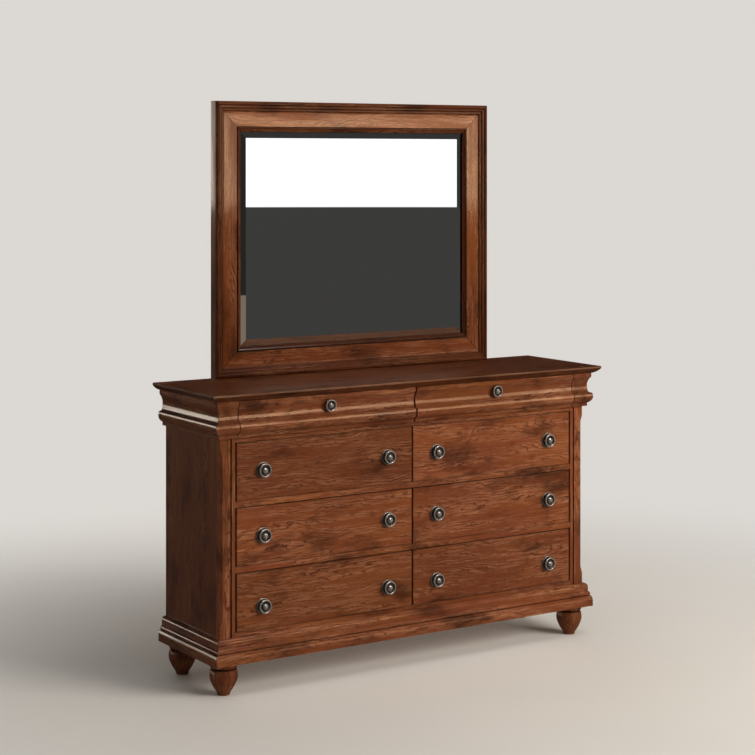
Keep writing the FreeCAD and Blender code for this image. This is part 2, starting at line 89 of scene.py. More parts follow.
class WoodSettings(bpy.types.PropertyGroup):
    """Colours and surface of the stained wood."""

    streak: colour("Light streak", "Lightest colour of the stain", "a86e4b")
    body: colour("Body", "Main colour of the stain", "773c22")
    amber: colour("Amber", "Colour of the more golden areas", "83491f")
    shadow: colour("Dark figure", "Colour of the latewood lines", "4a2112")
    # This colour is the stain's real glaze in patches, pores and joints, and also painted shade in
    # corners, quirks and on the mirror frame's inner lip.
    glaze_and_shade: colour("Glaze", "Colour of the dark glaze in patches, corners and pores", "1e0c05")
    figure: amount("Figure", "Strength of the dark growth lines", 0.82)
    patches: amount("Patches", "Strength of the cloudy dark patches", 0.68)
    roughness: amount("Roughness", "Roughness of the wood under the lacquer", 0.42)
    lacquer: amount("Lacquer", "Weight of the clear lacquer", 0.9)
    lacquer_roughness: amount("Lacquer roughness", "Roughness of the clear lacquer", 0.05)
    edge: length("Eased edge", "Radius of the eased edges of plain boards", 0.8 * MM)


class KnobSettings(bpy.types.PropertyGroup):
    """Sizes and colours of the pewter knobs."""

    plate_radius: length("Back plate", "Radius of the back plate of a lower knob", 25.5 * MM)
    ring_radius: length("Ring", "Outer radius of the ring", 22.5 * MM)
    top_ring_radius: length("Top ring", "Outer radius of a top drawer's ring", 20.5 * MM)
    ball_radius: length("Ball", "Radius of the ball in the middle", 9.3 * MM)
    patina: colour("Patina", "Dark metal in the hollows", "2a2320")
    metal: colour("Metal", "Rubbed metal on the high spots", "c4bbb2")


class MirrorSettings(bpy.types.PropertyGroup):
    """Silvering of the mirror."""

    silver: colour("Silver", "Tint of the reflection", "f4f6f5")
    roughness: amount("Roughness", "Roughness of the glass", 0.0)


class StageSettings(bpy.types.PropertyGroup):
    """Camera, lamps, floor and surroundings."""

    camera_place: bpy.props.FloatVectorProperty(
        name="Camera", description="Place of the camera", subtype="TRANSLATION", unit="LENGTH",
        size=3, default=(-3.5409, -5.4130, 1.7153))
    camera_turn: bpy.props.FloatProperty(
        name="Camera turn", description="Heading of the level camera", subtype="ANGLE",
        default=math.radians(-32.99))
    lens: number("Lens", "Focal length in millimetres", 89.2, 1.0)
    rise: number("Shift", "Vertical shift of the lens", -0.2925, -1.0)
    key_power: number("Key", "Power of the key lamp in watts", 290.0)
    fill: amount("Fill", "Strength of the surroundings' soft light", 0.17)
    band: number("Band", "Brightness of the band at eye level in reflections", 3.4)
    window: number("Window", "Brightness of the high window in reflections", 12.0)
    above: number("Above", "Brightness of the rest over the horizon in reflections", 0.035)
    floor: colour("Floor", "Colour of the floor", "efe8de")
    backdrop: colour("Backdrop", "Colour behind the floor", "dcd8d3")


# ------------------------------------------------------------------ nodes

class Nodes:
    """A node tree in the making: short calls that add nodes and join them."""

    def __init__(self, tree):
        self.tree = tree

    def add(self, kind, *values, **settings):
        """Adds a node, with its settings, and feeds its sockets in their order."""
        node = self.tree.nodes.new(kind)
        for key, value in settings.items():
            setattr(node, key, value)
        for socket, value in zip(node.inputs, values):
            self.feed(socket, value)
        return node

    def feed(self, socket, value):
        if isinstance(value, bpy.types.NodeSocket):
            self.tree.links.new(value, socket)
        elif socket.type == "RGBA":
            socket.default_value = (*value, 1.0)
        else:
            socket.default_value = value

    def math(self, operation, first, second=0.0):
        return self.add("ShaderNodeMath", first, second, operation=operation).outputs[0]

    def times(self, first, second):
        return self.math("MULTIPLY", first, second)

    def vector(self, operation, first, second=(0.0, 0.0, 0.0)):
        return self.add("ShaderNodeVectorMath", first, second, operation=operation)

    def axes(self, vector):
        return self.add("ShaderNodeSeparateXYZ", vector).outputs

    def span(self, value, low, high, start=0.0, end=1.0):
        """Smooth step of a value from low to high, as start to end."""
        return self.add("ShaderNodeMapRange", value, low, high, start, end,
                        interpolation_type="SMOOTHSTEP").outputs[0]

    def mix(self, factor, first, second, blend="MIX"):
        node = self.add("ShaderNodeMix", factor, data_type="RGBA", blend_type=blend)
        self.feed(node.inputs[6], first)
        self.feed(node.inputs[7], second)
        return node.outputs[2]

    def light(self, kind, tint, strength=1.0):
        """Plain light of a tint: an Emission or a Background shader."""
        return self.add(kind, tint, strength).outputs[0]

    def blend(self, factor, first, second):
        return self.add("ShaderNodeMixShader", factor, first, second).outputs[0]


class Finish(Nodes):
    """A material in the making, whose colour is painted on in layers.

    place is the shaded point on the object, and tint the colour of the layers so far.
    """

    def __init__(self, name, tint):
        self.material = bpy.data.materials.new(name)
        self.material.use_nodes = True
        super().__init__(self.material.node_tree)
        self.shader = self.tree.nodes["Principled BSDF"]
        self.place = self.add("ShaderNodeTexCoord").outputs["Object"]
        self.tint = tint

    def cover(self, factor, tint, blend="MIX"):
        """Lays a colour over the layers so far."""
        self.tint = self.mix(factor, self.tint, tint, blend)

    def paint(self, value, low, high, tint, strength=1.0):
        """Lays a colour over the layers so far as a value goes from low to high."""
        self.cover(self.span(value, low, high, 0.0, strength), tint)

    def surface(self, **values):
        """Sets or joins sockets of the shader, named as on it with _ for a space."""
        self.feed(self.shader.inputs["Base Color"], self.tint)
        for key, value in values.items():
            self.feed(self.shader.inputs[key.replace("_", " ")], value)
        return self.material

    def mapped(self, vector, scale=(1, 1, 1), turn=(0, 0, 0), shift=(0, 0, 0)):
        return self.add("ShaderNodeMapping", vector, shift, turn, scale).outputs[0]

    def noise(self, vector, scale=1.0, detail=3.0, roughness=0.5):
        node = self.add("ShaderNodeTexNoise")
        sockets = {"Vector": vector, "Scale": scale, "Detail": detail, "Roughness": roughness}
        for key, value in sockets.items():
            self.feed(node.inputs[key], value)
        return node.outputs[0]

    def grain(self, board, along, across, detail=3.0, roughness=0.5, shift=(0, 0, 0)):
        """Noise drawn out along the grain, with its fineness per metre along and across."""
        drawn = self.mapped(board, scale=(along, across, across), shift=shift)
        return self.noise(drawn, detail=detail, roughness=roughness)

    def bump(self, height, strength, distance, under=None):
        node = self.add("ShaderNodeBump")
        node.inputs["Strength"].default_value = strength
        node.inputs["Distance"].default_value = distance
        self.feed(node.inputs["Height"], height)
        if under is not None:
            self.feed(node.inputs["Normal"], under)
        return node.outputs[0]

    def growth_lines(self, board):
        """Dark latewood lines about 9 mm apart that wander into flames, 0 to 1."""
        wander = self.grain(board, 7.0, 24.0, detail=4.0, roughness=0.6)
        slow = self.grain(board, 1.6, 7.0, detail=1.0, shift=(1.3, 4.1, 2.7))
        _, y, z = self.axes(board)
        level = self.times(self.math("ADD", y, z), 80.0)
        level = self.math("ADD", level, self.times(wander, 5.5))
        level = self.math("ADD", level, self.times(slow, 16.0))
        turn = self.math("FRACT", level)
        return self.times(self.span(turn, 0.5, 0.92), self.span(turn, 1.0, 0.95))

    def hollows(self, reach):
        """1 in corners and quirks narrower than about reach, 0 on open surfaces: the mask of
        painted shade.
        """
        node = self.add("ShaderNodeAmbientOcclusion", samples=6, only_local=True)
        node.inputs["Distance"].default_value = reach
        return self.span(node.outputs["AO"], 0.95, 0.5)

    def plane_distance(self, place, normal):
        """Distance of a surface point from a plane."""
        offset = self.vector("SUBTRACT", self.place, place).outputs[0]
        return self.math("ABSOLUTE", self.vector("DOT_PRODUCT", offset, normal).outputs["Value"])

    def edge_distance(self, low, high):
        """Distance from a point of a board's surface to its nearest edge."""
        apart = self.vector("SUBTRACT", self.place, (low + high) / 2).outputs[0]
        size = self.vector("ABSOLUTE", apart).outputs[0]
        x, y, z = self.axes(self.vector("SUBTRACT", (high - low) / 2, size).outputs[0])
        nearer, farther = self.math("MINIMUM", x, y), self.math("MAXIMUM", x, y)
        return self.math("MAXIMUM", nearer, self.math("MINIMUM", farther, z))


# ------------------------------------------------------------------ materials

def stained_wood(name, grain, seed, box=None, hollow=0.0, tone_and_shade=1.0, warm=0.0, shine=1.0,
                 mitres=(), flat=None, lip_shade=None):
    """Cherry stain with figure, pores, cloudy dark patches, worn edges, painted shade and a clear
    lacquer.

    box is a plain board's, for the wear of its edges; hollow is the width of the quirks painted
    with shade; tone and warm darken and redden the stain, as the wood's own tone and, on the top,
    the sides and the mirror frame, as painted shade; shine weighs the lacquer; mitres are planes
    of joints; flat is the depth of a frame's face, in front of which the mouldings are painted
    darker; lip is the start of its inner edge and the strength of the painted shade on it.
    """
    look = bpy.context.scene.dresser_wood
    finish = Finish(name, look.body)
    shift = (seed * 1.73 % 7, seed * 2.31 % 5, seed * 0.97 % 6)
    board = finish.mapped(finish.place, turn=GRAIN_TURN[grain], shift=shift)

    fibre = finish.grain(board, 16.0, 240.0, detail=5.0, roughness=0.65)
    streaks = finish.grain(board, 3.0, 38.0, detail=4.0, roughness=0.6)
    pores = finish.grain(board, 60.0, 560.0, detail=2.0)
    clouds = finish.grain(board, 4.2, 10.0, detail=5.0, roughness=0.62)
    broad = finish.grain(board, 1.4, 3.4, detail=1.0, shift=(3.1, 1.7, 2.2))
    golden = finish.grain(board, 2.6, 6.0, detail=2.0, shift=(4.4, 2.9, 0.8))
    dents = finish.grain(board, 16.0, 30.0, detail=2.0)
    line = finish.times(finish.growth_lines(board), finish.span(streaks, 0.4, 0.62, 0.12, 1.0))
    patch = finish.times(finish.span(clouds, 0.48, 0.7), look.patches)

    finish.paint(golden, 0.42, 0.62, look.amber, 0.6)
    body = finish.tint
    finish.paint(fibre, 0.32, 0.68, look.streak)
    finish.paint(streaks, 0.6, 0.38, body, 0.85)
    finish.cover(finish.times(line, look.figure), look.shadow)
    finish.paint(pores, 0.6, 0.74, look.glaze_and_shade, 0.6)
    finish.cover(patch, look.glaze_and_shade)
    finish.paint(broad, 0.35, 0.68, look.shadow, 0.3)
    lacquer = finish.times(finish.span(streaks, 0.36, 0.58, 0.45, 1.0), look.lacquer * shine)
    for place, normal in mitres:
        finish.paint(finish.plane_distance(place, normal), 1.6 * MM, 0.5 * MM, look.glaze_and_shade, 0.75)
    if box:
        edge = finish.edge_distance(*box)
        rim = finish.math("SUBTRACT", edge, finish.times(clouds, 5 * MM))
        finish.paint(rim, 1.5 * MM, -3 * MM, look.glaze_and_shade, 0.45)
        worn = finish.times(finish.span(edge, 1.6 * MM, 0.3 * MM),
                            finish.span(streaks, 0.42, 0.6))
        finish.cover(finish.times(worn, 0.5), look.streak)
    # The mouldings proud of a frame's flat face are painted darker, and their lacquer is thinner.
    if flat is not None:
        proud = finish.span(finish.axes(finish.place)[1], flat, flat - 0.6 * MM)
        finish.cover(finish.times(proud, 0.52), look.glaze_and_shade)
        lacquer = finish.times(finish.span(proud, 0.0, 1.0, 1.0, 0.3), lacquer)
    # Painted shade on a frame's inner lip, toward the glass.
    if lip_shade:
        place, normal, depth, strength = lip_shade
        apart = finish.plane_distance(place, normal)
        finish.paint(apart, depth - 0.8 * MM, depth, look.glaze_and_shade, strength)
    # Painted shade: the stain darkens in quirks and corners narrower than the hollow reach, and the
    # lacquer thins there.
    if hollow:
        deep = finish.hollows(hollow)
        finish.cover(finish.times(deep, 0.85), look.glaze_and_shade)
        lacquer = finish.times(finish.span(deep, 0.0, 1.0, 1.0, 0.25), lacquer)
    # Multiplies by the tone: the wood's own tone, and on some pieces painted shade.
    finish.cover(1.0, (tone_and_shade, tone_and_shade * (1.0 - 0.4 * warm), tone_and_shade * (1.0 - warm)), "MULTIPLY")

    relief = finish.math("SUBTRACT", fibre, finish.times(finish.span(pores, 0.58, 0.76), 0.8))
    relief = finish.math("SUBTRACT", relief, finish.times(line, 0.5))
    wavy = finish.bump(dents, 0.12, 0.6 * MM)
    rough = finish.span(fibre, 0.2, 0.8, look.roughness - 0.05, look.roughness + 0.1)
    return finish.surface(
        Roughness=finish.math("ADD", rough, finish.times(patch, 0.12)), Specular_IOR_Level=0.1,
        Normal=finish.bump(relief, 0.35, 0.4 * MM, wavy),
        Coat_Weight=lacquer, Coat_Roughness=look.lacquer_roughness,
        Coat_Normal=finish.bump(relief, 0.06, 0.4 * MM, wavy))


def plain_wood(name, grain, seed, light, dark):
    """Unstained wood of the hidden parts: fine grain, a few darker lines, pores, and painted shade
    in the corners.
    """
    finish = Finish(name, shade(dark))
    board = finish.mapped(finish.place, turn=GRAIN_TURN[grain],
                          shift=(seed * 1.31 % 6, seed * 0.83 % 5, seed * 2.07 % 7))
    fibre = finish.grain(board, 9.0, 190.0, detail=4.0, roughness=0.6)
    figure = finish.grain(board, 1.6, 26.0)
    pores = finish.grain(board, 60.0, 700.0, detail=1.0)
    finish.paint(fibre, 0.3, 0.7, shade(light))
    finish.paint(figure, 0.48, 0.66, shade(dark), 0.5)
    finish.paint(pores, 0.62, 0.75, (0.05, 0.03, 0.02), 0.35)
    # Painted shade: darker in corners and quirks.
    finish.cover(finish.times(finish.hollows(12 * MM), 0.45), (0.06, 0.04, 0.025))
    return finish.surface(Roughness=finish.span(fibre, 0.2, 0.8, 0.47, 0.65),
                          Normal=finish.bump(fibre, 0.3, 0.3 * MM), Specular_IOR_Level=0.4)


def backing_board(name, seed):
    """Pressed fibre board: matt brown with fine flecks."""
    finish = Finish(name, shade("5d4230"))
    board = finish.mapped(finish.place, shift=(seed, seed * 0.7, seed * 1.9))
    flecks = finish.noise(board, scale=420.0, roughness=0.7)
    finish.paint(flecks, 0.3, 0.7, shade("8a6a4c"))
    finish.paint(finish.noise(board, scale=7.0), 0.35, 0.7, shade("4c3526"), 0.3)
    return finish.surface(Roughness=finish.span(flecks, 0.2, 0.8, 0.6, 0.78),
                          Normal=finish.bump(flecks, 0.25, 0.3 * MM), Specular_IOR_Level=0.3)


def zinc_steel(name, seed):
    """Zinc plated steel: soft spangle, fine lines along the channel, slight stains."""
    finish = Finish(name, shade("b9bcbe"))
    board = finish.mapped(finish.place, shift=(seed, seed, seed))
    drawn = finish.noise(finish.mapped(board, scale=(900.0, 12.0, 900.0)))
    stain = finish.noise(board, scale=38.0, detail=4.0, roughness=0.65)
    finish.paint(stain, 0.35, 0.7, shade("83868a"))
    rough = finish.math("ADD", finish.span(stain, 0.3, 0.7, 0.24, 0.4), finish.times(drawn, 0.1))
    return finish.surface(Metallic=1.0, Roughness=rough, Normal=finish.bump(drawn, 0.2, 0.2 * MM))


def pewter(name):
    """Cast pewter: dark patina in the hollows, rubbed bright on the rims, slightly hammered."""
    look = bpy.context.scene.dresser_knobs
    finish = Finish(name, look.patina)
    grain = finish.noise(finish.place, scale=520.0, roughness=0.6)
    clouds = finish.noise(finish.place, scale=150.0)
    hammer = finish.noise(finish.place, scale=210.0, detail=1.0)
    polish = finish.add("ShaderNodeAttribute", attribute_name="polish").outputs["Fac"]
    rubbed = finish.times(polish, finish.span(clouds, 0.3, 0.6, 0.7, 1.0))
    finish.cover(rubbed, look.metal)
    finish.paint(grain, 0.6, 0.75, look.patina, 0.5)
    dented = finish.bump(hammer, 0.3, 0.6 * MM)
    return finish.surface(Metallic=0.6, Roughness=finish.span(rubbed, 0.0, 1.0, 0.5, 0.2),
                          Normal=finish.bump(grain, 0.15, 0.2 * MM, dented))


def silvered_glass(name):
    """Mirror: silver behind clear glass, with a faint haze in the silver."""
    look = bpy.context.scene.dresser_mirror
    finish = Finish(name, look.silver)
    haze = finish.noise(finish.place, scale=5.0, detail=4.0)
    finish.paint(haze, 0.3, 0.7, (0.72, 0.76, 0.75), 0.06)
    return finish.surface(Metallic=1.0, Roughness=look.roughness)


# ------------------------------------------------------------------ modelling

def arc_through(start, middle, end, count):
    """Points of the arc through three points of a flat outline, without its start."""
    (ax, ay), (bx, by), (cx, cy) = start, middle, end
    d = 2 * (ax * (by - cy) + bx * (cy - ay) + cx * (ay - by))
    a2, b2, c2 = ax * ax + ay * ay, bx * bx + by * by, cx * cx + cy * cy
    ox = (a2 * (by - cy) + b2 * (cy - ay) + c2 * (ay - by)) / d
    oy = (a2 * (cx - bx) + b2 * (ax - cx) + c2 * (bx - ax)) / d
    first, last = math.atan2(ay - oy, ax - ox), math.atan2(cy - oy, cx - ox)
    way = 1 if (bx - ax) * (cy - by) - (by - ay) * (cx - bx) > 0 else -1
    sweep = (last - first) * way % (2 * math.pi) * way
    radius = math.hypot(ax - ox, ay - oy)
    angles = [first + sweep * i / count for i in range(1, count + 1)]
    return [(ox + radius * math.cos(angle), oy + radius * math.sin(angle)) for angle in angles]


def outline(steps, count=8):
    """Flat outline in metres from corners, and (middle, end) pairs for arcs, in millimetres."""
    points = [steps[0]]
    for step in steps[1:]:
        if isinstance(step[0], tuple):
            points += arc_through(points[-1], step[0], step[1], count)
        else:
            points.append(step)
    return [(a * MM, b * MM) for a, b in points]


def smooth_profile(points, count=5):
    """Catmull-Rom curve through profile points given in millimetres, returned in metres."""
    ends = [points[0]] + points + [points[-1]]
    curve = []
    for p0, p1, p2, p3 in zip(ends, ends[1:], ends[2:], ends[3:]):
        for i in range(count):
            t = i / count
            curve.append(tuple(0.5 * (2 * b + (c - a) * t + (2 * a - 5 * b + 4 * c - d) * t * t
                                      + (3 * b - a - 3 * c + d) * t ** 3)
                               for a, b, c, d in zip(p0, p1, p2, p3)))
    curve.append(points[-1])
    return [(max(a, 0.0) * MM, b * MM) for a, b in curve]


def only(kind, geometry):
    return [element for element in geometry if isinstance(element, kind)]


def gather(whole, part):
    """Adds a finished part to a bmesh."""
    bmesh.ops.recalc_face_normals(part, faces=part.faces)
    mesh = bpy.data.meshes.new("part")
    part.to_mesh(mesh)
    part.free()
    whole.from_mesh(mesh)
    bpy.data.meshes.remove(mesh)


def add_board(whole, low, high):
    low, high = Vector(low), Vector(high)
    part = bmesh.new()
    size = Matrix.Diagonal((*(high - low), 1.0))
    bmesh.ops.create_cube(part, size=1.0, matrix=Matrix.Translation((low + high) / 2) @ size)
    gather(whole, part)


def add_run(whole, points, push, cuts=()):
    """Moulding: an outline pushed along a vector, cut by planes that drop their normal's side."""
    part = bmesh.new()
    face = part.faces.new([part.verts.new(p) for p in points])
    pushed = bmesh.ops.extrude_face_region(part, geom=[face])["geom"]
    bmesh.ops.translate(part, verts=only(bmesh.types.BMVert, pushed), vec=push)
    for point, normal in cuts:
        everything = part.verts[:] + part.edges[:] + part.faces[:]
        cut = bmesh.ops.bisect_plane(part, geom=everything, plane_co=point, plane_no=normal,
                                     clear_outer=True)
        bmesh.ops.contextual_create(part, geom=only(bmesh.types.BMEdge, cut["geom_cut"]))
    gather(whole, part)


def bridged(rings):
    """Closed shape through successive rings of points, its ends filled."""
    whole = bmesh.new()
    loops = []
    for ring in rings:
        verts = [whole.verts.new(point) for point in ring]
        loops.append([whole.edges.new((verts[i - 1], verts[i])) for i in range(len(verts))])
    for first, second in zip(loops, loops[1:]):
        bmesh.ops.bridge_loops(whole, edges=first + second)
    bmesh.ops.holes_fill(whole, edges=loops[0] + loops[-1], sides=0)
    bmesh.ops.recalc_face_normals(whole, faces=whole.faces)
    return whole


def add_turned(whole, profile, base, axis, steps):
    """Turned shape: (radius, distance along the axis) points spun about the axis."""
    part = bmesh.new()
    verts = [part.verts.new(base + EAST * radius + axis * along) for radius, along in profile]
    edges = [part.edges.new(pair) for pair in zip(verts, verts[1:])]
    bmesh.ops.spin(part, geom=verts + edges, cent=base, axis=axis, angle=2 * math.pi, steps=steps,
                   use_merge=True)
    bmesh.ops.remove_doubles(part, verts=part.verts, dist=1e-6)
    gather(whole, part)


def make_piece(name, whole, body, material, replaced, edge=0.0):
    """Turns a bmesh into a piece that rides on a body, with eased edges if asked."""
    for face in whole.faces:
        face.smooth = True
    mesh = bpy.data.meshes.new(name)
    whole.to_mesh(mesh)
    whole.free()
    mesh.materials.append(material)
    piece = bpy.data.objects.new(name, mesh)
    bpy.context.scene.collection.objects.link(piece)
    if edge:
        ease = piece.modifiers.new("Eased edges", "BEVEL")
        ease.width = edge
        ease.segments = 2
        ease.limit_method = "ANGLE"
        ease.angle_limit = math.radians(28)
        ease.harden_normals = True
    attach(piece, body)
    if replaced:
        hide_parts(*replaced)
    return piece


def make_wooden(name, whole, node, wood, edge, body="case"):
    """Turns a bmesh into a stained piece that stands for one CAD node."""
    return make_piece(name, whole, body, wood, [node], edge)


def dress(node, material):
    """Gives a carried-over CAD node its material."""
    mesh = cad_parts[node].data
    mesh.materials.clear()
    mesh.materials.append(material)


def seed_of(text):
    """Fixed number of a name, for the place of its grain."""
    return sum((i + 1) * ord(c) for i, c in enumerate(text)) % 97 + 1


# ------------------------------------------------------------------ lines shared by the pieces

case_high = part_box("side_panel_right")[1]
face_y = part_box("front_post_left")[0].y
back_y = case_high.y
case_half = case_high.x
slab_low, slab_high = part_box("top_slab")
cornice_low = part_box("cornice_right")[0].z
base_low, base_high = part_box("base_front")
mirror_low, mirror_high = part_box("mirror_frame_bottom")[0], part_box("mirror_frame_top")[1]

# Radii of the eased edges.
FINE_EDGE, POST_EDGE, BROAD_EDGE = 0.4 * MM, 0.5 * MM, 0.6 * MM

# Sections in millimetres. Cornice and base: (reach in front of the case, height over the lower
# edge). Top: (inset, height). Frame: (depth from the outer edge, rise in front of the back).
CORNICE_SECTION = [
    (12.9, 0.0), (12.9, 11.5), ((22.5, 18.5), (28.2, 32.0)), (28.25, 34.5), (28.2, 36.0),
    (27.9, 39.0), (27.5, 42.5), (27.0, 45.2), (26.4, 46.4), (25.3, 47.3), (23.6, 48.0),
    (17.6, 50.0), (16.0, 51.4), (15.0, 53.2), (14.2, 56.8), (13.6, 60.4), (13.05, 65.0),
    (12.65, 68.2), (12.5, 69.4), (12.35, 74.0), ((14.7, 88.5), (22.2, 103.0)), (23.7, 104.5),
    (23.7, 119.5)]
BASE_SECTION = [
    (27.5, 0.0), (27.5, 20.0), ((27.35, 23.0), (26.6, 27.5)), (25.9, 30.6), (24.8, 33.6),
    ((24.0, 35.4), (22.8, 36.6)), (19.2, 37.0), (19.2, 39.8), (20.7, 40.4),
    ((20.5, 46.0), (19.4, 49.0)), (18.6, 50.2), (16.2, 51.8), (15.0, 52.6), (15.0, 67.5),
    (13.9, 73.4), ((10.6, 78.6), (2.0, 81.0))]
SLAB_SECTION = [(22.0, 0.0), ((7.4, 8.7), (0.0, 17.4)), (0.03, 18.0), (0.36, 22.5), (0.44, 23.6),
                (1.3, 24.5)]
FRAME_SECTION = [
    (0.0, 0.0), (0.0, 33.0), ((2.2, 38.3), (7.5, 40.5)), (10.5, 40.5),
    ((12.2, 37.2), (16.3, 35.8)), (20.9, 35.8), ((22.6, 32.5), (26.7, 31.1)), (31.3, 31.1),
    ((33.0, 27.8), (37.1, 26.4)), (85.8, 26.4), (87.0, 24.0), (88.2, 28.4), (91.2, 28.4),
    ((97.1, 23.8), (103.0, 21.5)), (103.0, 18.5), (93.0, 18.5), (93.0, 0.0)]
# Half section of a foot from its pad to its bulb, and of its neck and collar.
FOOT_BULB = [(19.6, 0.6), (20.6, 3.0), (22.0, 8.0), (26.6, 16.0), (32.0, 24.0), (37.2, 34.0),
             (41.9, 44.5), (44.8, 54.0), (45.5, 62.0), (44.9, 70.0), (43.6, 77.0), (41.6, 82.0)]
FOOT_NECK = [(40.4, 83.4), ((35.6, 84.4), (34.6, 86.0)), (34.6, 88.0), (35.2, 89.0), (42.3, 89.0),
             ((43.2, 89.4), (43.5, 90.4))]
# Half section of a screw's head, let into the wood, with its hollow drive.
SCREW_HEAD = [(0.0, -1.3), (1.5, -1.3), (1.7, -0.4), ((3.4, -0.25), (4.9, -0.1)),
              ((5.1, -0.3), (5.2, -0.6)), (2.6, -3.4), (0.0, -3.4)]


def mitre_plane(side, keep_side):
    """Plane at 45 degrees through a front corner; its normal points at the removed part."""
    away = Vector((-side, -1.0, 0.0)) if keep_side else Vector((side, 1.0, 0.0))
    return Vector((side * case_half, face_y, 0.0)), away.normalized()


def add_side_run(whole, side, section, z_low):
    """Moulding along one side of the case, mitred at the front corner."""
    flat = outline(section)
    flat += [(0.0, flat[-1][1]), (0.0, 0.0)]
    points = [Vector((side * (case_half + reach), back_y, z_low + height))
              for reach, height in flat]
    add_run(whole, points, Vector((0.0, slab_low.y - back_y, 0.0)), [mitre_plane(side, True)])


def add_front_run(whole, section, z_low, x, run, cuts, back_reach=0.0):
    """Moulding along the front of the case, from x for a run to either side."""
    flat = outline(section)
    flat += [(back_reach, flat[-1][1]), (back_reach, 0.0)]
    points = [Vector((x, face_y - reach, z_low + height)) for reach, height in flat]
    add_run(whole, points, EAST * run, cuts)


class DresserOperator(bpy.types.Operator):
    """Shared options of the dresser's operators."""

    bl_options = {"REGISTER", "UNDO"}


# ------------------------------------------------------------------ case

class DRESSER_OT_top_slab(DresserOperator):
    """Model the top with its round under-edge on the front and both ends"""

    bl_idname = "dresser.top_slab"
    bl_label = "Top"

    def execute(self, context):
        rings = []
        for inset, height in outline(SLAB_SECTION, 10):
            west, east, front = slab_low.x + inset, slab_high.x - inset, slab_low.y + inset
            corners = (west, back_y), (west, front), (east, front), (east, back_y)
            rings.append([(x, y, slab_low.z + height) for x, y in corners])
        whole = bridged(rings)
        # The straight back is one face.
        back = [face for face in whole.faces if face.normal.y > 0.99]
        bmesh.ops.dissolve_faces(whole, faces=back)
        box = slab_low, slab_high
        # The flat top is painted darker than the edge: painted shade on a top lit from low down.
        wood = stained_wood("top wood", "X", 11, box=box, tone_and_shade=0.31, warm=0.32, shine=0.12)
        edge = stained_wood("top edge wood", "X", 11, box=box, tone_and_shade=0.4, warm=0.25, shine=0.5)
        piece = make_wooden("top", whole, "top_slab", wood, FINE_EDGE)
        piece.data.materials.append(edge)
        # The flat top keeps the first wood, painted darker as shade; the round edge and the
        # underside take the second, lighter wood with more lacquer.
        for face in piece.data.polygons:
            face.material_index = int(face.normal.z < 0.7)
        return {"FINISHED"}


class DRESSER_OT_cornice(DresserOperator):
    """Model the fixed mitred cornice corners on both sides"""

    bl_idname = "dresser.cornice"
    bl_label = "Cornice corners"

    def execute(self, context):
        start = 678.5 * MM  # from the middle to where the corner's front begins
        for name, side in SIDES.items():
            whole = bmesh.new()
            add_side_run(whole, side, CORNICE_SECTION, cornice_low)
            add_front_run(whole, CORNICE_SECTION, cornice_low, side * start,
                          side * (slab_high.x - start), [mitre_plane(side, False)])
            wood = stained_wood("cornice wood " + name, "Y", seed_of("cornice" + name),
                                hollow=12 * MM, tone_and_shade=0.85, mitres=[mitre_plane(side, True)])
            make_wooden("cornice_corner_" + name, whole, "cornice_" + name, wood, BROAD_EDGE)
        return {"FINISHED"}


class DRESSER_OT_base(DresserOperator):
    """Model the base moulding: a front and two sides, mitred at the corners"""

    bl_idname = "dresser.base"
    bl_label = "Base moulding"

    def execute(self, context):
        quirk = 5 * MM
        mitres = [mitre_plane(-1, False), mitre_plane(1, False)]
        whole = bmesh.new()
        add_front_run(whole, BASE_SECTION, base_low.z, slab_low.x, slab_high.x - slab_low.x, mitres)
        wood = stained_wood("base wood front", "X", 23, hollow=quirk, tone_and_shade=0.9, shine=0.4,
                            mitres=mitres)
        make_wooden("base_moulding_front", whole, "base_front", wood, BROAD_EDGE)
        for name, side in SIDES.items():
            whole = bmesh.new()
            add_side_run(whole, side, BASE_SECTION, base_low.z)
            # The base's sides are painted darker than its front: painted shade on sides that face
            # away from the light.
            wood = stained_wood("base wood " + name, "Y", seed_of("base" + name), hollow=quirk,
                                tone_and_shade=0.72)
            make_wooden("base_moulding_" + name, whole, "base_" + name, wood, BROAD_EDGE)
        return {"FINISHED"}


